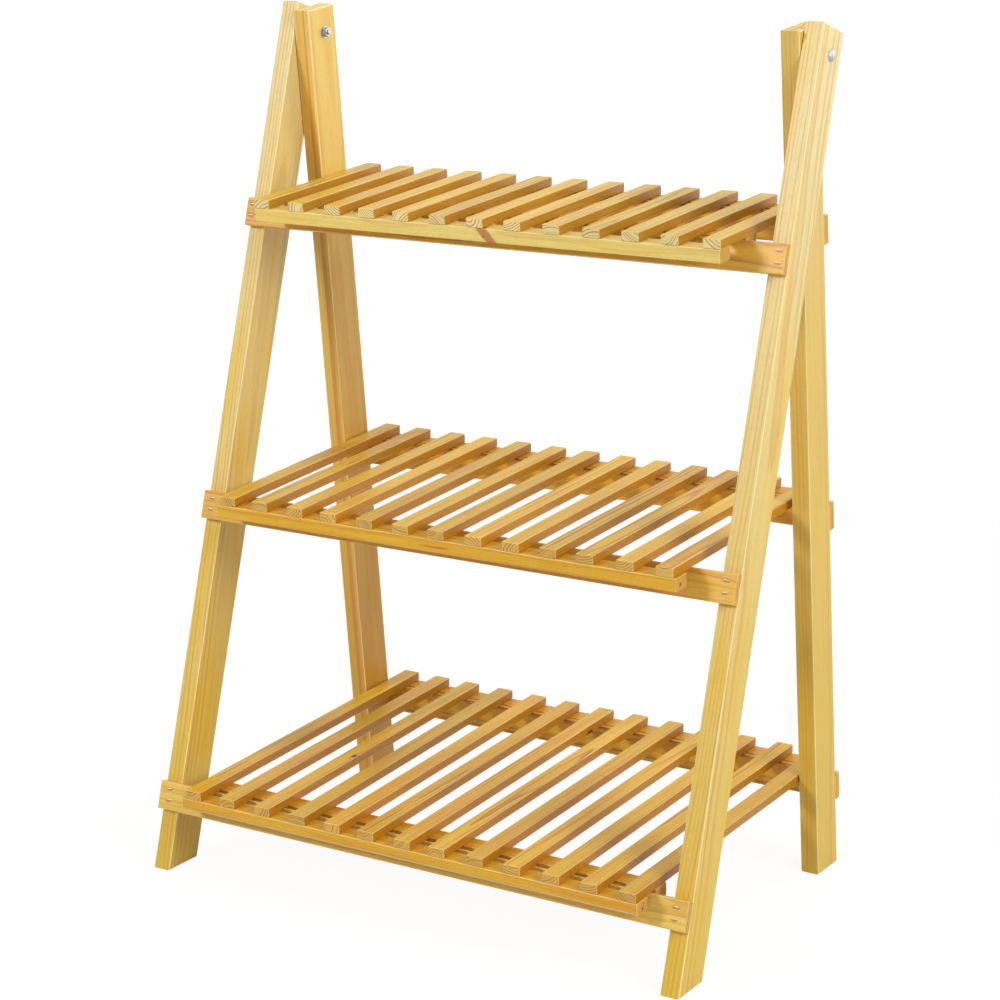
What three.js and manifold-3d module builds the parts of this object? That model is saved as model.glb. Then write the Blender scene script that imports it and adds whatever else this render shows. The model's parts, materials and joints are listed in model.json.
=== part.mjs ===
import * as THREE from 'three';
import { mergeVertices } from 'three/addons/utils/BufferGeometryUtils.js';
import Module from 'manifold-3d';

const wasm = await Module();
wasm.setup();

// Driving dimensions in millimetres. X runs across the stand, Y from front to back, Z up.
const WIDTH = 700;             // over the outer faces of the front legs
const PIVOT_HEIGHT = 956;      // bolt axis above the floor
const LEG_THICK = 22.5;        // leg board thickness, across the stand
const LEG_DEPTH = 51;          // leg board depth
const BOLT_FROM_FRONT = 28;    // bolt axis behind the front edge of either leg
const HEAD_LENGTH = 29.4;      // leg above the bolt axis, measured along the leg
const FRONT_LEAN = THREE.MathUtils.degToRad(16.24);
const REAR_LEAN = THREE.MathUtils.degToRad(-6.63);
const LEG_EASE = 1.6;          // rounding of the long leg edges
const FOLD_GAP = 0.5;          // front leg to rear leg, side by side on the bolt

const RAIL_HEIGHT = 33;
const RAIL_THICK = 10;
const RAIL_EASE = 1;
const GLUE_GAP = 0.3;          // clearance between pieces that lie against each other at a slant

const SHELF_CLEARANCE = 4.8;   // either side of a shelf to the rear leg beside it
const RAIL_CLEARANCE = 1;      // front rail to the inner batten behind it
const SLAT_COUNT = 13;
const SLAT_WIDTH = 21;
const SLAT_THICK = 10.5;
const SLAT_EASE = 1;
const BATTEN_HEIGHT = 15;
const BATTEN_DEPTH = 24;
const BATTEN_EASE = 1.2;
const END_BREAK = 0.5;         // broken edge round every sawn end

const BOLT_RADIUS = 3;
const BOLT_CLEARANCE = 0.25;   // radial, in the legs, the washer and the nut
const HEAD_RADIUS = 7;
const HEAD_HEIGHT = 3.4;
const HEAD_RIM = 0.6;
const NECK_SIDE = 6.6;
const NECK_LENGTH = 3.6;
const BOLT_PROUD = 2.4;        // thread standing out of the nut
const BOLT_CHAMFER = 0.8;
const WASHER_RADIUS = 7;
const WASHER_THICK = 1.4;
const NUT_FLATS = 10;
const NUT_HEIGHT = 5;
const NUT_CHAMFER = 0.7;

const ARC_STEPS = 2;           // segments in each eased corner
const ROUND_STEPS = 28;        // segments round the fasteners

// Each tier: how far down the legs its rails sit, how far its slats run past the rails, whether it has
// an inner batten behind the front rail, and the nose of its front batten. The shelves were nailed up
// by hand, so each slat end and batten has its own sideways drift from an even spacing.
const TIERS = [
  {
    name: 'top', frontDown: 206.3, rearDown: 180.8, frontOver: 51, rearOver: 31, inner: true, nose: 1.2,
    battenDrift: [-2.5, -3],
    frontDrift: [-3.5, -3.5, -1, -2.5, -4.5, -4, -3.5, -3.5, -2.5, -1, -1.5, -2.5, -1],
    rearDrift: [-4, -4.5, -4.5, -4, -4, -3.5, -3.5, -3, -3, -1.5, -1, -0.5, -0.5],
  },
  {
    name: 'middle', frontDown: 554.5, rearDown: 513.7, frontOver: 42, rearOver: 27, inner: false, nose: 1.2,
    battenDrift: [0, -3],
    frontDrift: [5, 2, 3.5, 1.5, 2.5, 2.5, 1, 1.5, 1, -0.5, -3, -2.5, -3.5],
    rearDrift: [-3.5, -5.5, -3, -4, -3.5, -2, -3.5, -2.5, -3, -3, -5, -3, -3],
  },
  {
    name: 'bottom', frontDown: 899.7, rearDown: 851.8, frontOver: 32, rearOver: 27, inner: true, nose: 6,
    battenDrift: [6, -1],
    frontDrift: [11.5, 11.5, 13, 14, 13.5, 11, 11, 8, 9, 8, 8, 6.5, 4.5],
    rearDrift: [-4, -5, -7.5, -5.5, -4, -3.5, -2, -2, -0.5, -0.5, 1.5, 2.5, 3],
  },
];

const parts = [];

function add(name, geometry, color, metalness = 0) {
  const roughness = metalness > 0 ? 0.4 : 0.55;
  const mesh = new THREE.Mesh(geometry, new THREE.MeshStandardMaterial({ color, metalness, roughness }));
  mesh.name = name;
  parts.push(mesh);
}

// Solid modelling helpers: a closed triangle body from a surface, and back again.
function toSolid(surface) {
  const bare = surface.clone();
  bare.deleteAttribute('normal');
  bare.deleteAttribute('uv');
  const welded = mergeVertices(bare, 1e-4);
  return new wasm.Manifold(new wasm.Mesh({
    numProp: 3,
    vertProperties: new Float32Array(welded.attributes.position.array),
    triVerts: new Uint32Array(welded.index.array),
  }));
}

function toSurface(solid) {
  const net = solid.getMesh();
  const surface = new THREE.BufferGeometry();
  surface.setAttribute('position', new THREE.BufferAttribute(new Float32Array(net.vertProperties), 3));
  surface.setIndex(new THREE.BufferAttribute(new Uint32Array(net.triVerts), 1));
  surface.computeVertexNormals();
  return surface;
}

// Points in the side view, given as (y, z). Down runs along a leg from the bolt, across runs rearwards.
function onLeg(lean, down, across) {
  const y = -Math.sin(lean) * down + Math.cos(lean) * across;
  const z = PIVOT_HEIGHT - Math.cos(lean) * down - Math.sin(lean) * across;
  return new THREE.Vector2(y, z);
}

function toFloor(lean, across) {
  return (PIVOT_HEIGHT - Math.sin(lean) * across) / Math.cos(lean);
}

// Turns a shape drawn in (y, z) and run along its own third axis so that it runs along X from xStart.
function alongX(surface, xStart) {
  surface.applyMatrix4(new THREE.Matrix4().set(0, 0, 1, xStart, 1, 0, 0, 0, 0, 1, 0, 0, 0, 0, 0, 1));
  return surface;
}

// A straight board: rounded section w by h in the first two axes, run along the third from zero.
// Its lower first corner has its own radius, for the rounded nose of a batten.
function board(w, h, length, ease, nose = ease) {
  const section = new THREE.Shape();
  const quarter = Math.PI / 2;
  section.absarc(nose, nose, nose, -2 * quarter, -quarter);
  section.absarc(w - ease, ease, ease, -quarter, 0);
  section.absarc(w - ease, h - ease, ease, 0, quarter);
  section.absarc(ease, h - ease, ease, quarter, 2 * quarter);
  const surface = new THREE.ExtrudeGeometry(section, {
    depth: length - 2 * END_BREAK,
    curveSegments: ARC_STEPS,
    bevelSegments: 1,
    bevelSize: END_BREAK,
    bevelThickness: END_BREAK,
    bevelOffset: -END_BREAK,
  });
  return surface.translate(0, 0, END_BREAK);
}

// Legs
const BACK_ACROSS = LEG_DEPTH - BOLT_FROM_FRONT;

function legSolid(lean, xStart) {
  const outline = new THREE.Shape([
    onLeg(lean, -HEAD_LENGTH, -BOLT_FROM_FRONT),
    onLeg(lean, toFloor(lean, -BOLT_FROM_FRONT), -BOLT_FROM_FRONT),
    onLeg(lean, toFloor(lean, BACK_ACROSS), BACK_ACROSS),
    onLeg(lean, -HEAD_LENGTH, BACK_ACROSS),
  ]);
  const blank = new THREE.ExtrudeGeometry(outline, {
    depth: LEG_THICK - 2 * LEG_EASE,
    bevelSegments: 3,
    bevelSize: LEG_EASE,
    bevelThickness: LEG_EASE,
    bevelOffset: -LEG_EASE,
  }).translate(0, 0, LEG_EASE);
  return toSolid(alongX(blank, xStart));
}

function boltAxisRod(radius, xStart, length) {
  const rod = new THREE.CylinderGeometry(radius, radius, length, ROUND_STEPS).rotateZ(-Math.PI / 2);
  return toSolid(rod.translate(xStart + length / 2, 0, PIVOT_HEIGHT));
}

const BORE = BOLT_RADIUS + BOLT_CLEARANCE;
const REAR_OUTER = WIDTH / 2 - LEG_THICK - FOLD_GAP;
const REAR_INNER = REAR_OUTER - LEG_THICK;

for (const [side, sign] of [['left', -1], ['right', 1]]) {
  const frontStart = sign > 0 ? WIDTH / 2 - LEG_THICK : -WIDTH / 2;
  const rearStart = sign > 0 ? REAR_INNER : -REAR_OUTER;
  const neckSide = NECK_SIDE + 2 * BOLT_CLEARANCE;
  const neckLength = NECK_LENGTH + BOLT_CLEARANCE;
  const neckPocket = new THREE.BoxGeometry(neckLength * 2, neckSide, neckSide);
  neckPocket.translate(sign * WIDTH / 2, 0, PIVOT_HEIGHT);
  const frontLeg = legSolid(FRONT_LEAN, frontStart)
    .subtract(boltAxisRod(BORE, frontStart - 1, LEG_THICK + 2))
    .subtract(toSolid(neckPocket));
  const rearLeg = legSolid(REAR_LEAN, rearStart)
    .subtract(boltAxisRod(BORE, rearStart - 1, LEG_THICK + 2));
  add(`front_leg_${side}`, toSurface(frontLeg), 0xdcc183);
  add(`rear_leg_${side}`, toSurface(rearLeg), 0xcfa75a);
}

// Carriage bolts, washers and nuts. Each is drawn round the Y axis with its seat at zero,
// then turned so that its outer side faces away from the stand.
function domeProfile() {
  const shank = 2 * LEG_THICK + FOLD_GAP + WASHER_THICK + NUT_HEIGHT + BOLT_PROUD;
  const profile = [
    new THREE.Vector2(0, -shank),
    new THREE.Vector2(BOLT_RADIUS - BOLT_CHAMFER, -shank),
    new THREE.Vector2(BOLT_RADIUS, BOLT_CHAMFER - shank),
    new THREE.Vector2(BOLT_RADIUS, 0),
    new THREE.Vector2(HEAD_RADIUS, 0),
  ];
  const steps = 6;
  for (let i = 0; i < steps; i += 1) {
    const angle = (i / steps) * (Math.PI / 2);
    const rise = HEAD_RIM + (HEAD_HEIGHT - HEAD_RIM) * Math.sin(angle);
    profile.push(new THREE.Vector2(HEAD_RADIUS * Math.cos(angle), rise));
  }
  profile.push(new THREE.Vector2(0, HEAD_HEIGHT));
  return profile;
}

function boltSolid() {
  const neck = new THREE.BoxGeometry(NECK_SIDE, NECK_LENGTH + HEAD_RIM, NECK_SIDE);
  neck.translate(0, (HEAD_RIM - NECK_LENGTH) / 2, 0);
  return toSolid(new THREE.LatheGeometry(domeProfile(), ROUND_STEPS)).add(toSolid(neck));
}

function upright(radius, height, steps) {
  return toSolid(new THREE.CylinderGeometry(radius, radius, height, steps).translate(0, height / 2, 0));
}

function washerSolid() {
  return upright(WASHER_RADIUS, WASHER_THICK, ROUND_STEPS).subtract(
    upright(BORE, WASHER_THICK * 3, ROUND_STEPS).translate([0, -WASHER_THICK, 0]));
}

function nutSolid() {
  const corner = NUT_FLATS / Math.sqrt(3);
  const flat = NUT_FLATS / 2;
  const lens = [
    new THREE.Vector2(0, 0),
    new THREE.Vector2(flat, 0),
    new THREE.Vector2(corner, NUT_CHAMFER),
    new THREE.Vector2(corner, NUT_HEIGHT - NUT_CHAMFER),
    new THREE.Vector2(flat, NUT_HEIGHT),
    new THREE.Vector2(0, NUT_HEIGHT),
  ];
  const hex = upright(corner, NUT_HEIGHT, 6);
  const turned = toSolid(new THREE.LatheGeometry(lens, ROUND_STEPS));
  return hex.intersect(turned).subtract(
    upright(BORE, NUT_HEIGHT * 3, ROUND_STEPS).translate([0, -NUT_HEIGHT, 0]));
}

const ZINC = 0xb9bcc0;
for (const [side, sign] of [['left', -1], ['right', 1]]) {
  const place = (solid, outward, x) => toSurface(solid)
    .rotateZ(outward * -Math.PI / 2)
    .translate(x, 0, PIVOT_HEIGHT);
  add(`bolt_${side}`, place(boltSolid(), sign, sign * WIDTH / 2), ZINC, 1);
  add(`washer_${side}`, place(washerSolid(), -sign, sign * REAR_INNER), ZINC, 1);
  add(`nut_${side}`, place(nutSolid(), -sign, sign * (REAR_INNER - WASHER_THICK)), ZINC, 1);
}

// Rails. A rail lies on the front edges of the front legs or on the rear edges of the rear legs.
function addRail(name, lean, down, across, halfLength) {
  const surface = board(RAIL_THICK, RAIL_HEIGHT, 2 * halfLength, RAIL_EASE);
  const corner = onLeg(lean, down + RAIL_HEIGHT, across);
  alongX(surface, 0).rotateX(-lean).translate(-halfLength, corner.x, corner.y);
  add(name, surface, 0xd2a962);
}

const FRONT_RAIL_ACROSS = -BOLT_FROM_FRONT - GLUE_GAP - RAIL_THICK;
const REAR_RAIL_ACROSS = BACK_ACROSS + GLUE_GAP;
for (const tier of TIERS) {
  addRail(`front_rail_${tier.name}`, FRONT_LEAN, tier.frontDown, FRONT_RAIL_ACROSS, WIDTH / 2);
  addRail(`rear_rail_${tier.name}`, REAR_LEAN, tier.rearDown, REAR_RAIL_ACROSS, REAR_OUTER);
}

// Shelves. Each is drawn flat: y from the slats' front end, z from the slats' underside.
// It is then tilted and set down so that the slats lie on the eased outer top edges of both rails.
const PANEL_WIDTH = 2 * (REAR_INNER - SHELF_CLEARANCE);
const SLAT_PITCH = (PANEL_WIDTH - SLAT_WIDTH) / (SLAT_COUNT - 1);

// Slides a flat panel piece sideways, by one amount at the panel's front and another at its rear.
function drift(surface, length, front, rear) {
  const rate = (rear - front) / length;
  const slide = new THREE.Matrix4().set(1, rate, 0, front, 0, 1, 0, 0, 0, 0, 1, 0, 0, 0, 0, 1);
  return surface.applyMatrix4(slide);
}

function slat(tier, index, length) {
  const surface = board(SLAT_WIDTH, SLAT_THICK, length, SLAT_EASE);
  surface.applyMatrix4(new THREE.Matrix4().set(-1, 0, 0, 0, 0, 0, 1, 0, 0, 1, 0, 0, 0, 0, 0, 1));
  surface.translate(index * SLAT_PITCH + SLAT_WIDTH - PANEL_WIDTH / 2, 0, 0);
  return drift(surface, length, tier.frontDrift[index], tier.rearDrift[index]);
}

function batten(tier, front, length, top, nose = BATTEN_EASE) {
  const surface = board(BATTEN_DEPTH, BATTEN_HEIGHT, PANEL_WIDTH, BATTEN_EASE, nose);
  alongX(surface, -PANEL_WIDTH / 2).translate(0, front, top - BATTEN_HEIGHT);
  return drift(surface, length, ...tier.battenDrift);
}

for (const tier of TIERS) {
  const frontSeat = onLeg(FRONT_LEAN, tier.frontDown + RAIL_EASE, FRONT_RAIL_ACROSS + RAIL_EASE);
  const rearSeat = onLeg(REAR_LEAN, tier.rearDown + RAIL_EASE, REAR_RAIL_ACROSS + RAIL_THICK - RAIL_EASE);
  const tilt = Math.atan2(rearSeat.y - frontSeat.y, rearSeat.x - frontSeat.x);
  const seatLift = RAIL_EASE + GLUE_GAP;
  const seatFront = tier.frontOver + RAIL_EASE;
  const length = seatFront + frontSeat.distanceTo(rearSeat) + RAIL_EASE + tier.rearOver;
  const set = new THREE.Matrix4().makeTranslation(0, frontSeat.x, frontSeat.y)
    .multiply(new THREE.Matrix4().makeRotationX(tilt))
    .multiply(new THREE.Matrix4().makeTranslation(0, -seatFront, seatLift));
  const put = (name, surface, color) => add(`${tier.name}_${name}`, surface.applyMatrix4(set), color);
  put('batten_front', batten(tier, 0, length, -GLUE_GAP, tier.nose), 0xd8b46e);
  put('batten_rear', batten(tier, length - BATTEN_DEPTH, length, -GLUE_GAP), 0xd8b46e);
  for (let i = 0; i < SLAT_COUNT; i += 1) {
    const atEnd = i === 0 || i === SLAT_COUNT - 1;
    if (tier.inner && atEnd) continue;
    put(`slat_${String(i + 1).padStart(2, '0')}`, slat(tier, i, length), 0xcda869);
  }
  if (tier.inner) {
    // The end slats are one body with the inner batten; a shallow relief keeps it off the other slats.
    const innerFront = tier.frontOver + RAIL_THICK + RAIL_CLEARANCE;
    const relief = new THREE.BoxGeometry(PANEL_WIDTH - 2 * SLAT_PITCH, length, 2 * GLUE_GAP);
    const frame = toSolid(slat(tier, 0, length))
      .add(toSolid(slat(tier, SLAT_COUNT - 1, length)))
      .add(toSolid(batten(tier, innerFront, length, 0)))
      .subtract(toSolid(relief.translate(0, length / 2, 0)));
    put('end_slats', toSurface(frame), 0xcda869);
  }
}

// The exported group stands on the floor with its footprint centred on the origin.
const stand = new THREE.Group();
stand.name = 'plant_ladder_stand';
stand.add(...parts);
const reach = new THREE.Box3().setFromObject(stand);
for (const mesh of parts) {
  mesh.geometry.translate(0, -(reach.min.y + reach.max.y) / 2, -reach.min.z);
}

export default stand;
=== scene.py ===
# %% [markdown]
# # A folding plant stand in lacquered pine
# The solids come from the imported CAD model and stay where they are. This lesson adds what the eye
# expects of them: wood that looks sawn from a trunk, a coat of lacquer, staples, light and a
# camera.

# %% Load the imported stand
import json
import math
import random

import bmesh
import bpy
import numpy as np
from mathutils import Euler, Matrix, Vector


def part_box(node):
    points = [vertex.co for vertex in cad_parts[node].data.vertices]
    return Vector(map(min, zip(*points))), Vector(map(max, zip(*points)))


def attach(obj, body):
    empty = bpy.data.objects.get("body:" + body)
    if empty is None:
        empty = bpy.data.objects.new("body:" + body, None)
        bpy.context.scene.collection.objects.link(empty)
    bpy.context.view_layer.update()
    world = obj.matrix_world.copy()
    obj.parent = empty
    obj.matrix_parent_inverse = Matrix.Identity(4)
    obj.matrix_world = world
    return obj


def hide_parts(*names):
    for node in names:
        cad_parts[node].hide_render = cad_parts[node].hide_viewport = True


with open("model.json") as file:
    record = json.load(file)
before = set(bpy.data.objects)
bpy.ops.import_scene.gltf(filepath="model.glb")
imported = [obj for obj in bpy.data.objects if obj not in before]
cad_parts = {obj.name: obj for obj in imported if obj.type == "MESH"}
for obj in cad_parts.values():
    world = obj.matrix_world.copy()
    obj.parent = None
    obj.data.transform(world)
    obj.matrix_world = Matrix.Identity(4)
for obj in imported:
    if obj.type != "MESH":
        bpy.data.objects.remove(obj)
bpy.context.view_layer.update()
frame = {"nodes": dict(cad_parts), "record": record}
nodes = frame["nodes"]
scene = bpy.context.scene

# %% [markdown]
# ## Camera
# The picture was taken from the right and a little above, with a long lens, so that upright edges
# stay nearly parallel. Both frames lean on one bolt line, and the camera aims at a point below it,
# a little to the left of the stand's middle.

# %% Camera
MM = 0.001
bolt_low, bolt_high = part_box("bolt_right")
HINGE_Y = (bolt_low.y + bolt_high.y) / 2
AZIMUTH, ELEVATION = math.radians(31.80), math.radians(14.06)
AIM = Vector((-60.5 * MM, HINGE_Y, 419.1 * MM))
DISTANCE = 3125.2 * MM
FOCAL_IN_PICTURE_WIDTHS = 2.64485
NEAREST, FARTHEST = 0.1, 60

lens = bpy.data.cameras.new("viewpoint")
lens.lens = lens.sensor_width * FOCAL_IN_PICTURE_WIDTHS
lens.clip_start, lens.clip_end = NEAREST, FARTHEST
camera = bpy.data.objects.new("viewpoint", lens)
scene.collection.objects.link(camera)
backwards = Vector((
    math.sin(AZIMUTH) * math.cos(ELEVATION),
    -math.cos(AZIMUTH) * math.cos(ELEVATION),
    math.sin(ELEVATION),
))
camera.location = AIM + backwards * DISTANCE
camera.rotation_mode = "QUATERNION"
camera.rotation_quaternion = (-backwards).to_track_quat("-Z", "Y")
scene.camera = camera
print("lens", round(lens.lens, 2), "mm, camera at", [round(v, 3) for v in camera.location])

# %% [markdown]
# ## Sums written as Python
# A shader or a Geometry Nodes tree is a long sum drawn as boxes and wires. Here one small class
# stands for a wire and adds a Math node whenever it meets + - * or /, and one method makes every
# other node, so that a recipe reads like the formula it is.


# %% Wires and nodes
class Wire:
    """One output of a node. Arithmetic on it adds Math nodes to the same tree."""

    def __init__(self, net, socket):
        self.net, self.socket = net, socket

    def _sum(self, operation, first, second=0.0, clamp=False):
        settings = {"operation": operation, "use_clamp": clamp}
        return self.net.node("ShaderNodeMath", settings, {0: first, 1: second})

    def __add__(self, other):
        return self._sum("ADD", self, other)

    def __sub__(self, other):
        return self._sum("SUBTRACT", self, other)

    def __rsub__(self, other):
        return self._sum("SUBTRACT", other, self)

    def __mul__(self, other):
        return self._sum("MULTIPLY", self, other)

    def __truediv__(self, other):
        return self._sum("DIVIDE", self, other)

    __radd__, __rmul__ = __add__, __mul__

    def fraction(self):
        return self._sum("FRACT", self)

    def size(self):
        return self._sum("ABSOLUTE", self)

    def over(self, other):
        return self._sum("MAXIMUM", self, other)

    def clamped(self):
        return self._sum("ADD", self, 0.0, clamp=True)

    def output(self, name):
        """Another output of the same node."""
        return Wire(self.net, self.socket.node.outputs[name])


class Net:
    """A node tree being filled."""

    def __init__(self, tree):
        self.tree = tree

    def node(self, kind, settings=None, inputs=None, output=0):
        """Adds a node: first its settings, then a value or a wire for each input that is named or
        numbered. It returns a wire from one output, if the node has any."""
        made = self.tree.nodes.new(kind)
        for name, value in (settings or {}).items():
            setattr(made, name, value)
        for key, value in (inputs or {}).items():
            if isinstance(value, Wire):
                self.tree.links.new(value.socket, made.inputs[key])
            else:
                made.inputs[key].default_value = value
        return Wire(self, made.outputs[output]) if made.outputs else None


print("wires and nodes ready")

# %% [markdown]
# ## Helpers for the recipes
# A colour is written as it looks on screen, 0 to 255, and turned into the amounts of light that a
# shader works in. An eased step between two values draws nearly every border in the recipes below,
# because nothing in wood or in a shadow starts with a hard edge.


# %% Colours, steps and empty trees
def linear(red, green, blue):
    """A screen colour as a shader needs it, by the usual curve of a screen."""
    parts = [v / 255 for v in (red, green, blue)]
    return (*(v / 12.92 if v <= 0.04045 else ((v + 0.055) / 1.055) ** 2.4 for v in parts), 1.0)


def climb(net, value, low, high):
    """0 below low, 1 above high, and an eased climb between them."""
    inputs = {"Value": value, "From Min": low, "From Max": high}
    return net.node("ShaderNodeMapRange", {"interpolation_type": "SMOOTHSTEP"}, inputs)


def vector(net, operation, first, second=(0, 0, 0), output=0):
    inputs = {0: first, 1: second}
    return net.node("ShaderNodeVectorMath", {"operation": operation}, inputs, output)


def length(net, place):
    """How far a place is from the middle of its own space."""
    return vector(net, "LENGTH", place, output="Value")


def emptied(block):
    """Turns on the nodes of a material or a world, clears them and returns the tree to fill."""
    block.use_nodes = True
    block.node_tree.nodes.clear()
    return Net(block.node_tree)


WHITE = (1.0, 1.0, 1.0, 1.0)
print("a screen grey of 128 is", round(linear(128, 128, 128)[0], 3), "of full light")

# %% [markdown]
# ## Sky
# The stand is photographed in a white studio. A strength of 1 is white, so the sky has that for
# every ray that looks at it, straight from the camera, through glass or by way of a gloss. The
# light that it sheds on the wood stays at a plain level.

# %% Sky
SKY_LIGHT = 0.32


def looking(net):
    """1 where a ray comes from the camera, straight, through glass or by way of a gloss."""
    rays = net.node("ShaderNodeLightPath")
    return rays.over(rays.output("Is Transmission Ray")).over(rays.output("Is Glossy Ray"))


scene.view_settings.view_transform = "Standard"
world = bpy.data.worlds.new("studio")
sky = emptied(world)
level = looking(sky) * (1 - SKY_LIGHT) + SKY_LIGHT
background = sky.node("ShaderNodeBackground", None, {"Color": WHITE, "Strength": level})
sky.node("ShaderNodeOutputWorld", None, {"Surface": background})
scene.world = world
print("the sky lights the wood at", SKY_LIGHT)

# %% [markdown]
# ## Floor
# A pale matt floor catches the shadow of the stand. Rays that look at it also meet an even white
# glow, which covers most of the matt floor near the stand and all of it further out. That leaves a
# faint shadow and no horizon.

# %% Floor
FLOOR_GREY = linear(218, 218, 218)
GLOW = 1.06
GLOW_SHARE = 0.88
GLOW_GROWS = (0.9, 3.5)
REACH = 60.0

floor_finish = bpy.data.materials.new("pale_floor")
ground = emptied(floor_finish)
matt = ground.node("ShaderNodeBsdfDiffuse", None, {"Color": FLOOR_GREY})
glow = ground.node("ShaderNodeEmission", None, {"Color": WHITE, "Strength": GLOW})
away = length(ground, ground.node("ShaderNodeTexCoord", output="Object"))
share = climb(ground, away, *GLOW_GROWS) * (1 - GLOW_SHARE) + GLOW_SHARE
seen = ground.node("ShaderNodeMixShader", None, {0: looking(ground) * share, 1: matt, 2: glow})
ground.node("ShaderNodeOutputMaterial", None, {"Surface": seen})

floor_mesh = bpy.data.meshes.new("floor")
corners = [(-REACH, -REACH, 0), (REACH, -REACH, 0), (REACH, REACH, 0), (-REACH, REACH, 0)]
floor_mesh.from_pydata(corners, [], [(0, 1, 2, 3)])
floor_mesh.materials.append(floor_finish)
floor = bpy.data.objects.new("floor", floor_mesh)
scene.collection.objects.link(floor)
print("floor", 2 * REACH, "m wide, whitening from", GLOW_GROWS[0], "to", GLOW_GROWS[1], "m")

# %% [markdown]
# ## Lamps
# A small lamp high on the left draws soft shadows, such as the one beside each batten's right end.
# A wide lamp on the right lights the outer face of the right leg, and two weaker ones behind and
# above lift the tops of the slats and put a sheen on the lacquer.

# %% Lamps
LAMPS = {
    "right_window": {"at": (3.3, -0.9, 2.2), "power": 76, "width": 1.6},
    "left_key": {"at": (-1.9, -3.3, 2.5), "power": 84, "width": 0.9},
    "over_top": {"at": (0.1, 0.9, 3.0), "power": 26, "width": 1.8},
    "rear_card": {"at": (2.9, 3.9, 1.6), "power": 40, "width": 2.6},
}
LIT_POINT = Vector((0, 0, 0.6))
for name, lamp in LAMPS.items():
    light = bpy.data.lights.new(name, "AREA")
    light.energy, light.size = lamp["power"], lamp["width"]
    holder = bpy.data.objects.new(name, light)
    holder.location = lamp["at"]
    holder.rotation_mode = "QUATERNION"
    holder.rotation_quaternion = (LIT_POINT - holder.location).to_track_quat("-Z", "Y")
    scene.collection.objects.link(holder)
print("lamps:", ", ".join(LAMPS))

# %% [markdown]
# ## Pine, from the inside out
# A board shows lines because a saw cuts through nested cylinders of wood. So the recipe is not a
# picture of lines: it is a trunk that every board is cut from. A trunk is uneven in many ways at
# once, and each has its own size across and along it, from the slow wander of the rings down to
# single fibres and the short canals that carry the resin.


# %% Unevenness
def cloudy(net, place, lumps, detail=2.0):
    """Noise between 0 and 1. lumps are its sizes along the three axes, in the unit of place."""
    stretched = vector(net, "DIVIDE", place, lumps)
    inputs = {"Vector": stretched, "Scale": 1.0, "Detail": detail}
    return net.node("ShaderNodeTexNoise", None, inputs)


# Two sizes across the trunk and one along it, in mm, and the detail of the noise.
UNEVENNESS = {
    "wander": ((45, 45, 260), 1.0),
    "ripple": ((7, 7, 60), 1.0),
    "streak": ((2.2, 2.2, 170), 3.0),
    "fibre": ((0.4, 0.4, 26), 2.0),
    "canal": ((0.55, 0.55, 7), 0.0),
    "patch": ((22, 22, 190), 1.0),
    "fleck": ((3.5, 3.5, 2.6), 1.0),
}
print("pine is uneven by", ", ".join(UNEVENNESS))

# %% [markdown]
# ## Years of growth
# The distance from the heart of the trunk, counted in years, runs from 0 to 1 in each year: pale
# early wood, then late wood that darkens and ends at a sharp line. Cut along, that gives stripes
# and tongues; cut across, it gives arcs. The heart is given in mm from the middle of the board:
# far off to one side for a calm face with stripes on its edges, inside the section for a board
# sawn round the pith. Some years are hard and dark, and others hardly show.

# %% Years of growth
LATE_STARTS, LATE_ENDS = 0.45, 0.93
RIPPLE = 1.1
HARDNESS_PER_YEAR = 0.37
HARD_YEARS = (0.25, 0.7)


def late_wood(net, board, noise, kind, heart, seed, push):
    """1 in the dark end of a hard year's growth, 0 in early wood."""
    across = vector(net, "MULTIPLY", vector(net, "SUBTRACT", board, (*heart, 0)), (1, 1, 0))
    wander = (noise["wander"] - 0.5) * kind["wander"]
    ripple = (noise["ripple"] - 0.5) * RIPPLE
    years = (length(net, across) + wander + ripple + push) / kind["ring"]
    hardness = net.node("ShaderNodeTexNoise", {"noise_dimensions": "1D"}, {
        "W": years * HARDNESS_PER_YEAR + seed, "Scale": 1.0})
    growth = years.fraction()
    darkening = climb(net, growth, LATE_STARTS, LATE_ENDS)
    line = 1 - climb(net, growth, LATE_ENDS, 1.0)
    return darkening * line * climb(net, hardness, *HARD_YEARS)


print("late wood fills", round(1 - LATE_STARTS, 2), "of a year's growth")

# %% [markdown]
# ## Knots, streaks and painted shade
# A knot is the root of a branch. The rings flow round it, its core is nearly black, and its bark
# stains the wood about it. Each one is an egg whose place, slant and sizes a Mapping node takes
# away, so that the egg's surface lies at a distance of 1. Drawn out thin or long, the same egg
# stands for a crack, an orange-brown streak, and painted shade round staples and along crevices.

# %% Knots
KNOT_ZONES = {"push": (0.5, 3.5), "core": (1.0, 1.35), "bark": (1.2, 2.0)}
KNOT_LUMPS = (1.6, 1.6, 3.0)
RAGGEDNESS = 0.6


def knotted(net, board, knots_and_shades):
    """How far knots push the rings aside and how dark their core and bark stain the wood; the same
    eggs also paint shade round staples and along crevices.
    """
    marks = {}
    for knot in knots_and_shades:
        near = net.node("ShaderNodeMapping", {"vector_type": "TEXTURE"}, {
            "Vector": board, "Location": knot["at"], "Rotation": (0, knot.get("slant", 0), 0),
            "Scale": knot["size"]})
        smooth = length(net, near)
        ragged = smooth + cloudy(net, board, KNOT_LUMPS) * RAGGEDNESS
        for effect, zone in KNOT_ZONES.items():
            if effect in knot:
                outline = smooth if effect == "push" else ragged
                strength = (1 - climb(net, outline, *zone)) * knot[effect]
                marks[effect] = marks.get(effect, 0.0) + strength
    return marks


print("bark stains the wood out to", KNOT_ZONES["bark"][1], "radii of a knot")
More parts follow.
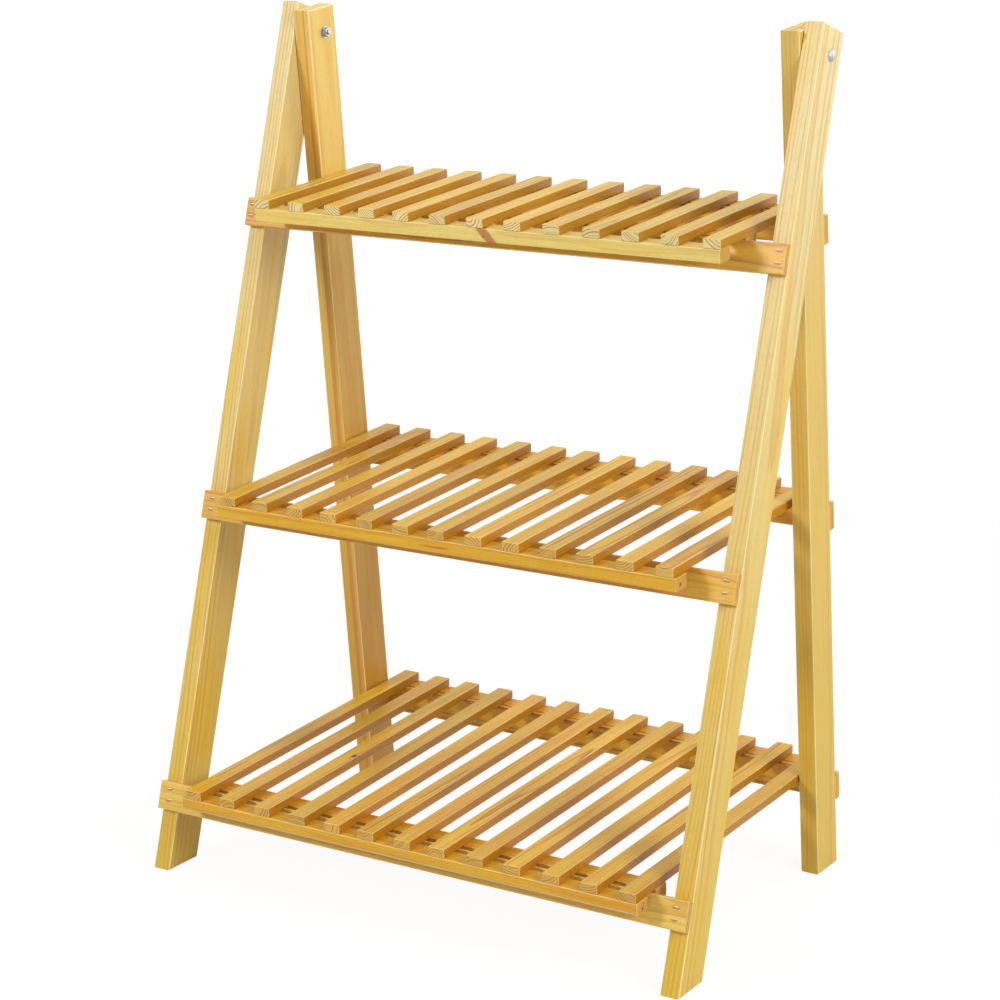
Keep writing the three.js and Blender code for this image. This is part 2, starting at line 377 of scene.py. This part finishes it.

# %% [markdown]
# ## Ends, flanks and edges
# The way a face looks tells how the saw met the wood: an end shows arcs and soaks up the lacquer.
# The flanks of a slat are darkened by painted shade, for the shadow of the neighbouring slats, and
# a rounded edge, where a face looks two ways at once, is lightened by a painted highlight.

# %% Ends, flanks and edges
END_FACES = (0.7, 0.95)
FLANK_FACES = (0.6, 0.9)
FLAT_FACES = (0.9, 0.995)


def faces_of(net, turn):
    """Three masks: a board's sawn ends, its flanks and its rounded edges."""
    normal = net.node("ShaderNodeTexCoord", output="Normal")
    inputs = {"Vector": normal, "Rotation": turn}
    turned = net.node("ShaderNodeMapping", {"vector_type": "NORMAL"}, inputs)
    split = net.node("ShaderNodeSeparateXYZ", None, {0: turned})
    flank, face, end = (split.output(axis).size() for axis in "XYZ")
    flat = climb(net, flank.over(face).over(end), *FLAT_FACES)
    return climb(net, end, *END_FACES), climb(net, flank, *FLANK_FACES), 1 - flat


slant = round(math.degrees(math.acos(END_FACES[1])))
print("a face within", slant, "degrees of the grain's direction is a sawn end")

# %% [markdown]
# ## Colour of the wood
# The colour is laid on in this order: early wood, warmer in patches and, on a leg, painted warmer
# and darker towards the foot as shade; late wood and streaks; canals, and painted shade on flanks;
# sawn ends; a painted highlight on rounded edges; and what knots and streaks have stained, with
# painted shade round staples and along crevices. Fibres and flecks then make it lighter or darker.

# %% Colour of the wood
# The second colour is a painted highlight for rounded edges.
END_RINGS, EDGE_HIGHLIGHT = linear(152, 90, 34), linear(255, 236, 176)
# Knot stains; the same colours also paint shade round staples and along rail crevices.
KNOT_STAINS_AND_SHADE = {"bark": linear(176, 98, 38), "core": linear(52, 22, 10)}
STREAK_LEVEL = 0.45
WARM_PATCHES, PATCH_SHARE = (0.45, 0.75), 0.5
CANAL_SHARE = 0.35
RINGS_AT_END, RING_SHARE, END_SHARE = (0.03, 0.5), 0.7, 0.9
# Painted highlight: how strongly it shows along an edge, in streaks.
HIGHLIGHT_STREAKS, EVEN_HIGHLIGHT = (0.3, 0.6), 0.4
SHADING = {"fibre": 0.22, "fleck": 0.06, "patch": 0.12}


def blended(net, first, second, share):
    """A colour between two, by a share that the node holds between 0 and 1."""
    # A Mix node's sockets for numbers, vectors and colours share their names, so those for
    # colours go by their numbers.
    settings = {"data_type": "RGBA", "clamp_factor": True}
    return net.node("ShaderNodeMix", settings, {0: share, 6: first, 7: second}, output=2)


def wood_colour(net, kind, noise, late, canal, foot_shade, faces, marks):
    """The colour at a point of a board, before the lacquer."""
    sawn, flank, edge = faces
    # The patches are the wood's own; the share at a leg's foot is painted shade.
    warmth = climb(net, noise["patch"], *WARM_PATCHES) * PATCH_SHARE + foot_shade
    wood = blended(net, kind["early"], kind["warm"], warmth)
    lines = late * kind["lines"] + (noise["streak"] - STREAK_LEVEL) * kind["streaks"]
    wood = blended(net, wood, kind["late"], lines)
    # Painted shade: the flanks are darkened towards late wood, for the shadow between the slats.
    wood = blended(net, wood, kind["late"], canal * CANAL_SHARE + flank * kind["flank"])
    arcs = climb(net, late, *RINGS_AT_END) * RING_SHARE
    wood = blended(net, wood, blended(net, kind["end"], END_RINGS, arcs), sawn * END_SHARE)
    # Painted highlight on rounded edges, stronger in streaks.
    highlight_share = climb(net, noise["streak"], *HIGHLIGHT_STREAKS) * (1 - EVEN_HIGHLIGHT) + EVEN_HIGHLIGHT
    wood = blended(net, wood, EDGE_HIGHLIGHT, edge * kind["edge_highlight"] * highlight_share)
    # Knot stains, and painted shade round staples and along rail crevices.
    for effect, stain in KNOT_STAINS_AND_SHADE.items():
        if effect in marks:
            wood = blended(net, wood, stain, marks[effect])
    light = kind["tone"]
    for sort, amount in SHADING.items():
        light = (noise[sort] - 0.5) * amount + light
    return net.node("ShaderNodeVectorMath", {"operation": "SCALE"}, {0: wood, "Scale": light})


print("wood stained by", ", ".join(KNOT_STAINS_AND_SHADE))

# %% [markdown]
# ## Lacquered pine
# A Mapping node turns each board's length to the third axis and puts the board's middle at zero,
# in mm, and each seed then cuts it from another place in the trunk. The lacquer is a thin satin
# coat that follows the fibres and is missing where the saw cut across them. A slight bump lets the
# late wood and the fibres stand proud, as they do when softer wood shrinks between them.

# %% Lacquered pine
TRUNK_STEP = (31.0, -17.0, 913.0)
CANALS = (0.66, 0.74)
FOOT_SHADE_AT_MIDDLE, FOOT_SHADE_FADE = 0.45, 950
RIDGES, THREADS, PITS = 0.45, 0.6, 0.3
SATIN, FIBRE_ROUGHNESS, SAWN_ROUGHNESS = 0.42, 0.2, 0.25
COAT, COAT_PATCHES = 0.14, 0.14


def finished_material(name):
    material = bpy.data.materials.new(name)
    return material, emptied(material)


def surfaced(net, sockets):
    """Ends a material with one shader, whose sockets take these values or wires."""
    surface = net.node("ShaderNodeBsdfPrincipled", None, sockets)
    net.node("ShaderNodeOutputMaterial", None, {"Surface": surface})


def pine(name, turn, middle, kind, heart, seed, knots_and_shades=()):
    """Lacquered pine for one board. turn lays its length along the third axis, middle is its centre
    after that turn, and heart is the trunk's middle, in mm. kind holds what its sort shares."""
    material, net = finished_material(name)
    where = net.node("ShaderNodeTexCoord", output="Object")
    board = net.node("ShaderNodeMapping", None, {
        "Vector": where, "Location": tuple(-v for v in middle), "Rotation": turn,
        "Scale": (1 / MM,) * 3})
    trunk = vector(net, "ADD", board, tuple(step * seed for step in TRUNK_STEP))
    noise = {sort: cloudy(net, trunk, *row) for sort, row in UNEVENNESS.items()}
    marks = knotted(net, board, knots_and_shades)
    late = late_wood(net, board, noise, kind, heart, seed, marks.get("push", 0.0))
    canal = climb(net, noise["canal"], *CANALS)
    height = net.node("ShaderNodeSeparateXYZ", None, {0: board}, output="Z")
    # Painted shade: a leg grows warmer and darker towards its foot, for light falling off
    # downwards.
    foot_shade = (FOOT_SHADE_AT_MIDDLE - height / FOOT_SHADE_FADE).clamped() * kind["foot_shade"]
    faces = faces_of(net, turn)
    sawn, fibre = faces[0], noise["fibre"] - 0.5
    relief = late * RIDGES + noise["fibre"] * THREADS - canal * PITS
    surfaced(net, {
        "Base Color": wood_colour(net, kind, noise, late, canal, foot_shade, faces, marks),
        "Roughness": (SATIN + fibre * FIBRE_ROUGHNESS + sawn * SAWN_ROUGHNESS).clamped(),
        "Normal": net.node("ShaderNodeBump", None, {
            "Strength": 0.3, "Distance": 0.3 * MM, "Height": relief}),
        "Coat Weight": ((1 - sawn) * COAT + (noise["patch"] - 0.5) * COAT_PATCHES).clamped(),
        "Coat Roughness": 0.32,
        "Specular IOR Level": 0.3,
    })
    return material


print("a coat of", COAT, "over wood of roughness", SATIN)

# %% [markdown]
# ## Sorts of pine
# The legs are broad boards of pale wood with wide rings, painted warmer and darker towards the foot
# as shade. The slats, battens and rails are thin sticks from yellower wood that grew more slowly.
# One batten and one rail came from lighter stock. Each sort of board starts at a seed of its own.

# %% Sorts of pine
LEG = {
    "early": linear(231, 212, 147), "late": linear(206, 148, 58), "warm": linear(226, 189, 64),
    "end": linear(232, 208, 140), "ring": 4.4, "wander": 9, "lines": 0.8, "streaks": 0.7,
    "edge_highlight": 1.4, "foot_shade": 1.0, "flank": 0.0, "tone": 0.95,
}
REAR_LEG = dict(LEG, early=linear(227, 195, 104))
STICK = {
    "early": linear(231, 178, 46), "late": linear(180, 110, 8), "warm": linear(219, 145, 22),
    "end": linear(216, 168, 84), "ring": 3.1, "wander": 11, "lines": 0.8, "streaks": 0.9,
    "edge_highlight": 0.42, "foot_shade": 0.0, "flank": 0.0, "tone": 0.96,
}
PALE_STICK = dict(
    STICK, early=linear(237, 212, 120), late=linear(206, 152, 58), warm=linear(232, 190, 80))
YELLOW_STICK = dict(
    STICK, early=linear(238, 200, 84), late=linear(196, 134, 28), warm=linear(228, 172, 48))
FIRST_SEEDS = {"leg": 1, "rail": 7, "batten": 15, "slat": 30, "end": 80}
print("legs grew", LEG["ring"], "mm a year and sticks", STICK["ring"], "mm")

# %% [markdown]
# ## Legs
# Each leg is one long board, so its lines run the whole length and every leg has lines of its own.
# The front legs lean back and the rear legs lean forward; the grain leans with them. The angle is
# read from the imported solids, by comparing where a leg's rear edge is at two heights. Both rear
# legs are a shade deeper. The left one is lightened as painted light and is browner at its foot as
# painted shade, and a long orange-brown streak runs down its front edge. The right one is darkened
# as painted shade.

# %% Legs
END_ZONE = 1 * MM


def points_of(node_name):
    return np.array([v.co for v in nodes[node_name].data.vertices])


def middle_of(points, turn):
    """Where the middle of a board comes after the turn that stands its grain upright, in mm."""
    turned = points @ np.array(Euler(turn).to_matrix()).T / MM
    return tuple((turned.min(axis=0) + turned.max(axis=0)) / 2)


def lean_of(leg):
    """How far a leg leans from upright, turned about X, from the slope of its rear edge."""
    points = points_of(leg)
    low = points[points[:, 2] < points[:, 2].min() + END_ZONE]
    high = points[points[:, 2] > points[:, 2].max() - END_ZONE]
    rear_low, rear_high = low[low[:, 1].argmax()], high[high[:, 1].argmax()]
    return math.atan2(rear_high[1] - rear_low[1], rear_high[2] - rear_low[2])


def dress(node_name, material):
    """Gives a CAD node its finish. Its mesh is left alone."""
    mesh = nodes[node_name].data
    mesh.materials.clear()
    mesh.materials.append(material)


def make_board(node_name, turn, kind, heart, seed, knots_and_shades=()):
    middle = middle_of(points_of(node_name), turn)
    dress(node_name, pine(f"pine_{node_name}", turn, middle, kind, heart, seed, knots_and_shades))


# An orange-brown streak along the front edge of the left rear leg.
EDGE_STREAK = {"at": (3, -26.5, -60), "size": (2.2, 3.5, 520), "bark": 0.45}
# Painted light: tone 1.10 lightens this leg; its brown warm colour deepens the painted shade at its
# foot.
BROWN_LEG = dict(REAR_LEG, warm=linear(200, 152, 48), tone=1.10)
LEGS = {
    "front_leg_left": {"kind": LEG, "heart": (64, 6)},
    "front_leg_right": {"kind": LEG, "heart": (-73, 1)},
    "rear_leg_left": {"kind": BROWN_LEG, "heart": (82, -4), "knots_and_shades": [EDGE_STREAK]},
    # Painted shade: tone 0.90 darkens this leg.
    "rear_leg_right": {"kind": dict(REAR_LEG, tone=0.90), "heart": (-91, -9)},
}
for seed, (leg, wood) in enumerate(LEGS.items(), FIRST_SEEDS["leg"]):
    lean = lean_of(leg)
    make_board(leg, (lean, 0.0, 0.0), seed=seed, **wood)
    print(leg, "leans", round(math.degrees(lean), 1), "degrees")

# %% [markdown]
# ## Rails
# Painted shade darkens the rail round each staple's crown, for the recess that it sits in, and in a
# dark line on both sides of a rail's top, for the crevices where a shelf's battens touch.

# %% Rails
ALONG_X = (0.0, -math.pi / 2, 0.0)
STAPLE_HEIGHTS = (9.0, -4.0)
STAPLE_REACH = {"top": 342.5, "middle": 338.0, "bottom": 336.0}
REAR_STAPLE_REACH = 315.5
# Painted shade: a dark ring round each staple crown, for the small recess that it sits in.
STAPLE_SHADE = {"size": (1.4, 12, 3.5), "bark": 0.65}
# Painted shade: dark lines along both sides of a rail's top, for the crevices by the battens.
CREVICE_SHADE = {"size": (2.0, 1.6, 312), "bark": 0.9, "core": 0.55}
CREVICE_SHADE_HEIGHT, CREVICE_SHADE_SIDES = 15.5, (-5.0, 5.0)
RAIL_HEARTS, RAIL_HEART_DEPTH, RAIL_HEART_STEP = (-12, 12), 24, 4


def nodes_with(part):
    """The CAD nodes with this part in their names, in the order of the alphabet."""
    return [name for name in sorted(nodes) if part in name]


def staples_of(rail):
    """Where a rail's four staples sit: across the rail and along it, in mm from its middle."""
    side, _, tier = rail.split("_")
    reach = STAPLE_REACH[tier] if side == "front" else REAR_STAPLE_REACH
    return [(height, end * reach) for end in (-1, 1) for height in STAPLE_HEIGHTS]


dice = random.Random(7)
rails = nodes_with("_rail_")
for number, rail in enumerate(rails):
    # Painted shade round each staple crown.
    staple_shades = [dict(STAPLE_SHADE, at=(-height, 0, along)) for height, along in staples_of(rail)]
    # Painted shade along the rail's top, for the crevices where the battens touch.
    crevice_shades = [dict(CREVICE_SHADE, at=(-CREVICE_SHADE_HEIGHT, side, 0)) for side in CREVICE_SHADE_SIDES]
    kind = YELLOW_STICK if rail == "front_rail_bottom" else STICK
    heart = (dice.uniform(*RAIL_HEARTS), RAIL_HEART_DEPTH + RAIL_HEART_STEP * number)
    make_board(rail, ALONG_X, kind, heart, FIRST_SEEDS["rail"] + number, staple_shades + crevice_shades)
print(len(rails), "rails, with", len(staple_shades), "bruises each")

# %% [markdown]
# ## Battens
# Two boards in a stack are never alike. The front batten of the top shelf was cut through the root
# of a branch, which left a slanted red brown streak. Two others were sawn round the pith, which
# shows as a dark dot on their end.

# %% Battens
BRANCH = [
    {"at": (0, -14, 13), "slant": -0.8, "size": (20, 12, 4.0), "push": 3, "bark": 0.8},
    {"at": (2, -12, 11), "size": (1.3, 3, 1.6), "core": 0.5},
]
PITHS = {"middle_batten_front": (1, -2), "bottom_batten_front": (2, 1)}
PITH_DOT = {"size": (1.7, 1.7, 40), "core": 0.9}
BATTEN_END = 299
BATTEN_HEARTS, BATTEN_HEART_DEPTHS = (-9, 9), (12, 30)

battens = nodes_with("_batten_")
for number, batten in enumerate(battens):
    drawn = (dice.uniform(*BATTEN_HEARTS), dice.uniform(*BATTEN_HEART_DEPTHS))
    heart = PITHS.get(batten, drawn)
    kind, knots_and_shades = STICK, []
    if batten in PITHS:
        knots_and_shades = [dict(PITH_DOT, at=(*heart, BATTEN_END))]
    elif batten == "top_batten_front":
        kind, knots_and_shades = PALE_STICK, BRANCH
    make_board(batten, ALONG_X, kind, heart, FIRST_SEEDS["batten"] + number, knots_and_shades)
print(len(battens), "battens,", len(PITHS), "of them sawn round the pith")

# %% [markdown]
# ## Sorts of slat
# Thirteen slats lie across each tier, each sawn from its own place in its own trunk: the recipe is
# the same, but the heart, the tone and the warmth change from one slat to the next. Their grain
# follows the tilt of the shelf, which the record gives as the direction that its top faces. The
# top tier has the palest slats and the bottom tier the most orange ones.

# %% Sorts of slat
SLAT_COLOURS = {
    "top": ((228, 190, 70), (178, 120, 24), (216, 160, 42), (240, 220, 158)),
    "middle": ((234, 190, 58), (182, 116, 12), (222, 154, 30), (218, 176, 92)),
    "bottom": ((232, 186, 50), (178, 110, 10), (218, 148, 26), (218, 172, 88)),
}
BROWN, BROWN_SHARES = linear(190, 120, 44), (0, 0.6)
TONES, RINGS, LINES = (0.85, 1.03), (2.4, 4.4), (0.45, 1.1)
SLAT_HEARTS, SLAT_HEART_DEPTHS = (-22, 22), (5, 32)
# Painted shade on slat flanks, for the shadow of the neighbouring slats.
SLAT_FLANK_SHADE = 0.75

tilt_of = {}
for mount in frame["record"]["mounts"]:
    if mount["name"].endswith("_shelf_top"):
        tilt_of[mount["name"].split("_")[0]] = math.atan2(-mount["axis"][1], mount["axis"][2])


def slat_kind(tier):
    """What one slat is like: its tier's colours, browned, lightened and ringed by chance."""
    early, late, warm, end = (linear(*colour) for colour in SLAT_COLOURS[tier])
    share = dice.uniform(*BROWN_SHARES)
    return dict(
        STICK, early=early, late=late, end=end, flank=SLAT_FLANK_SHADE,
        warm=tuple(a + (b - a) * share for a, b in zip(warm, BROWN)),
        tone=dice.uniform(*TONES), ring=dice.uniform(*RINGS), lines=dice.uniform(*LINES))


def slat_heart():
    across = dice.uniform(*SLAT_HEARTS)
    return (across, dice.choice((-1, 1)) * dice.uniform(*SLAT_HEART_DEPTHS))


def slat_turn(tier):
    """The turn that stands a slat's grain upright."""
    return (math.pi / 2 - tilt_of[tier], 0.0, 0.0)


print("tilts in degrees:", {tier: round(math.degrees(tilt), 2) for tier, tilt in tilt_of.items()})

# %% [markdown]
# ## Slats
# Three slats of the bottom shelf have a mark of their own: a small black knot, a large one, and a
# short crack. Each is given by its place on the stand and turned into its board's own space.

# %% Slats
SLAT_KNOTS = {
    "bottom_slat_03": {
        "at": (-181.6, -53.5, 117.5), "size": (2.4, 4, 4.5), "push": 5, "core": 1, "bark": 0.7},
    "bottom_slat_07": {
        "at": (10.1, 176.5, 113.0), "size": (5, 4.5, 8), "push": 6, "core": 1, "bark": 0.8},
    "bottom_slat_09": {
        "at": (110.4, 37.1, 116.6), "size": (5, 8, 0.6), "core": 0.8, "bark": 0.4},
}

slats = nodes_with("_slat_")
for number, slat in enumerate(slats):
    tier = slat.split("_")[0]
    turn = slat_turn(tier)
    knots_and_shades = []
    if slat in SLAT_KNOTS:
        place = Euler(turn).to_matrix() @ Vector(SLAT_KNOTS[slat]["at"])
        at = tuple(place - Vector(middle_of(points_of(slat), turn)))
        knots_and_shades = [dict(SLAT_KNOTS[slat], at=at)]
    kind, heart = slat_kind(tier), slat_heart()
    make_board(slat, turn, kind, heart, FIRST_SEEDS["slat"] + number, knots_and_shades)
print(len(slats), "slats, each with wood of its own")

# %% [markdown]
# ## End slats and inner battens
# On two tiers the first and last slat are one solid with the batten nailed under them, just behind
# the front rail. Wood grain can't turn a corner inside one piece, so a copy of that solid is parted
# along the slats' underside: what is above gets a slat's grain, what is below a batten's.

# %% End slats
PARTS = LEFT_SLAT, RIGHT_SLAT, BATTEN = 0, 1, 2
INNER_BATTEN_HEART = (4, 20)
WELD = 0.001 * MM
ON_THE_CUT = 0.05


def parted(tier):
    """A copy of a tier's end slats as a mesh cut along their underside, and each part's points."""
    facing = Vector((0, -math.sin(tilt_of[tier]), math.cos(tilt_of[tier])))
    level = min(facing.dot(v.co) for v in nodes[f"{tier}_slat_07"].data.vertices)
    shape = bmesh.new()
    shape.from_mesh(nodes[f"{tier}_end_slats"].data)
    bmesh.ops.remove_doubles(shape, verts=shape.verts, dist=WELD)
    everything = [*shape.verts, *shape.edges, *shape.faces]
    bmesh.ops.bisect_plane(
        shape, geom=everything, plane_co=facing * level, plane_no=facing, dist=WELD)
    shape.normal_update()
    parts = {part: set() for part in PARTS}
    for face in shape.faces:
        centre = face.calc_center_median()
        height = (facing.dot(centre) - level) / MM
        looks_up = face.normal.dot(facing) > 0.5
        is_batten = height < -ON_THE_CUT or (height < ON_THE_CUT and looks_up)
        slat = RIGHT_SLAT if centre.x > 0 else LEFT_SLAT
        face.material_index = BATTEN if is_batten else slat
        parts[face.material_index].update(tuple(v.co) for v in face.verts)
    mesh = bpy.data.meshes.new(f"{tier}_end_slats_wood")
    shape.to_mesh(mesh)
    shape.free()
    return mesh, parts


def dress_end_slats(tier, seed):
    mesh, parts = parted(tier)
    for part, points in parts.items():
        if part == BATTEN:
            turn, kind, heart = ALONG_X, STICK, INNER_BATTEN_HEART
        else:
            turn, kind, heart = slat_turn(tier), slat_kind(tier), slat_heart()
        middle = middle_of(np.array(list(points)), turn)
        finish = pine(f"pine_{tier}_end_{part}", turn, middle, kind, heart, seed + part)
        mesh.materials.append(finish)
    piece = bpy.data.objects.new(f"{tier}_end_slats_wood", mesh)
    scene.collection.objects.link(piece)
    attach(piece, f"{tier}_shelf")
    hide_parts(f"{tier}_end_slats")
    print(piece.name, len(mesh.polygons), "faces in", len(PARTS), "parts")


for number, name in enumerate(nodes_with("_end_slats")):
    dress_end_slats(name.split("_")[0], FIRST_SEEDS["end"] + len(PARTS) * number)

# %% [markdown]
# ## Zinc
# Carriage bolts, nuts and washers are plated with zinc, a bluish grey with a cloudy bloom that
# makes it paler and duller at once. The wire of the staples has gone a warm grey, in spots with a
# clearer outline.


# %% Zinc and wire
def metal(name, lumps, clear, clouded, metallic, roughness, dulling, zone=None):
    """A clouded metal. lumps are the clouds' size in mm, and dulling is the roughness that they
    add. A zone gives them a clearer outline."""
    material, net = finished_material(name)
    where = net.node("ShaderNodeTexCoord", output="Object")
    clouds = cloudy(net, where, (lumps * MM,) * 3, detail=3.0)
    share = climb(net, clouds, *zone) if zone else clouds
    surfaced(net, {
        "Base Color": blended(net, clear, clouded, share),
        "Metallic": metallic,
        "Roughness": roughness + clouds * dulling,
    })
    return material


zinc = metal(
    "zinc_plate", lumps=2.4, clear=linear(150, 152, 155), clouded=linear(206, 208, 212),
    metallic=1.0, roughness=0.28, dulling=0.22)
wire_finish = metal(
    "staple_wire", lumps=1.8, clear=linear(236, 226, 196), clouded=linear(190, 172, 132),
    metallic=0.55, roughness=0.3, dulling=0.2, zone=(0.4, 0.7))
fasteners = [name for name in nodes if name.startswith(("bolt_", "washer_", "nut_"))]
for name in fasteners:
    dress(name, zinc)
print(len(fasteners), "fasteners plated")

# %% [markdown]
# ## One staple
# Wire staples hold each rail end to its leg. The crown is what shows: a short bent wire, pressed
# almost flush. One staple is drawn once in a Geometry Nodes tree and set on every marked place;
# each lands a little askew, because a staple gun is held by hand.

# %% One staple in Geometry Nodes
BEND_IN_WIRE_RADII = 1.6
BEND_STEPS, WIRE_SIDES = 3, 8
WIRE_WELD = 0.01 * MM


def staple_inputs(tree):
    """Gives the tree its named inputs and its one output."""
    kinds = {
        "Places": "Geometry", "Crown Width": "Float", "Wire Radius": "Float",
        "Leg Length": "Float", "Askew": "Float", "Seed": "Int", "Finish": "Material"}
    for name, kind in kinds.items():
        tree.interface.new_socket(name, in_out="INPUT", socket_type=f"NodeSocket{kind}")
    tree.interface.new_socket("Staples", in_out="OUTPUT", socket_type="NodeSocketGeometry")


def staple_wire(net, given):
    """One staple: its crown along X at zero height, and two short legs straight down."""
    half = given.output("Crown Width") * 0.5
    deep = given.output("Leg Length") * -1.0
    corners = [
        net.node("ShaderNodeCombineXYZ", None, {0: across, 2: down})
        for across, down in ((half * -1.0, deep), (half * -1.0, 0.0), (half, 0.0), (half, deep))
    ]
    joined = net.node("GeometryNodeJoinGeometry")
    for start, end in zip(corners, corners[1:]):
        step = net.node("GeometryNodeMeshLine", {"mode": "END_POINTS"}, {
            "Count": 2, "Start Location": start, "Offset": end})
        net.tree.links.new(step.socket, joined.socket.node.inputs[0])
    welded = net.node("GeometryNodeMergeByDistance", None, {0: joined, "Distance": WIRE_WELD})
    wire = net.node("GeometryNodeMeshToCurve", None, {0: welded})
    radius = given.output("Wire Radius")
    bent = net.node("GeometryNodeFilletCurve", {"mode": "POLY"}, {
        0: wire, "Count": BEND_STEPS, "Radius": radius * BEND_IN_WIRE_RADII})
    ring = net.node("GeometryNodeCurvePrimitiveCircle", None, {
        "Resolution": WIRE_SIDES, "Radius": radius})
    return net.node("GeometryNodeCurveToMesh", None, {0: bent, 1: ring, "Fill Caps": True})


def staple_tree():
    """Sets a staple on each place, square to its "outward" attribute and then a little askew."""
    tree = bpy.data.node_groups.new("staples", "GeometryNodeTree")
    staple_inputs(tree)
    net = Net(tree)
    given = net.node("NodeGroupInput")
    outward = net.node(
        "GeometryNodeInputNamedAttribute", {"data_type": "FLOAT_VECTOR"}, {"Name": "outward"})
    upright = net.node(
        "FunctionNodeAlignEulerToVector", {"axis": "Z", "pivot_axis": "X"}, {"Vector": outward})
    placed = net.node("GeometryNodeInstanceOnPoints", None, {
        0: given, "Instance": staple_wire(net, given), "Rotation": upright})
    askew = given.output("Askew")
    # This node's sockets for plain numbers are its third and fourth, and its second output.
    swing = net.node("FunctionNodeRandomValue", {"data_type": "FLOAT"}, {
        2: askew * -1.0, 3: askew, "Seed": given.output("Seed")}, output=1)
    turn = net.node("ShaderNodeCombineXYZ", None, {2: swing})
    turned = net.node("GeometryNodeRotateInstances", None, {0: placed, "Rotation": turn})
    real = net.node("GeometryNodeRealizeInstances", None, {0: turned})
    finished = net.node("GeometryNodeSetMaterial", None, {
        0: real, "Material": given.output("Finish")})
    net.node("NodeGroupOutput", None, {0: finished})
    return tree


staples = staple_tree()
print("staple tree of", len(staples.nodes), "nodes")

# %% [markdown]
# ## Staples on the rails
# A rail is square to its leg, so the leg's lean gives the direction that its staples face. The
# staples of one side are one mesh, attached to an empty named for that side's frame.

# %% Staples on the rails
STAPLE = {"Crown Width": 6.4 * MM, "Wire Radius": 0.55 * MM, "Leg Length": 3.0 * MM, "Askew": 0.12}
SUNK = 0.12 * MM


def staple_places(side):
    """Where the staples of one side's rails go, and the one direction that they all face."""
    lean = lean_of(f"{side}_leg_right")
    up = np.array((0, math.sin(lean), math.cos(lean)))
    outward = np.array((0, math.cos(lean), -math.sin(lean))) * (-1 if side == "front" else 1)
    places = []
    for rail in nodes_with(f"{side}_rail_"):
        points = points_of(rail)
        face = outward * ((points @ outward).max() - SUNK)
        halfway = ((points @ up).min() + (points @ up).max()) / 2
        for height, along in staples_of(rail):
            places.append(up * (halfway + height * MM) + face + np.array((along * MM, 0, 0)))
    return places, outward


def drive_staples(body, side, tree, seed):
    """Staples of one body's rails as one mesh."""
    places, outward = staple_places(side)
    marks = bpy.data.meshes.new(f"{side}_staple_marks")
    marks.from_pydata([tuple(place) for place in places], [], [])
    attribute = marks.attributes.new("outward", "FLOAT_VECTOR", "POINT")
    attribute.data.foreach_set("vector", np.tile(outward, len(places)))
    maker = bpy.data.objects.new(f"{side}_staple_maker", marks)
    scene.collection.objects.link(maker)
    modifier = maker.modifiers.new("staples", "NODES")
    modifier.node_group = tree
    values = dict(STAPLE, Seed=seed, Finish=wire_finish)
    for item in tree.interface.items_tree:
        if item.in_out == "INPUT" and item.name in values:
            modifier[item.identifier] = values[item.name]
    bpy.context.view_layer.update()
    made = maker.evaluated_get(bpy.context.evaluated_depsgraph_get())
    mesh = bpy.data.meshes.new_from_object(made)
    mesh.name = f"{side}_staples"
    bpy.data.objects.remove(maker)
    piece = bpy.data.objects.new(f"{side}_staples", mesh)
    scene.collection.objects.link(piece)
    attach(piece, body)
    print(piece.name, len(places), "staples,", len(mesh.polygons), "faces")


drive_staples("front_frame", "front", staples, seed=3)
drive_staples("rear_frame", "rear", staples, seed=5)
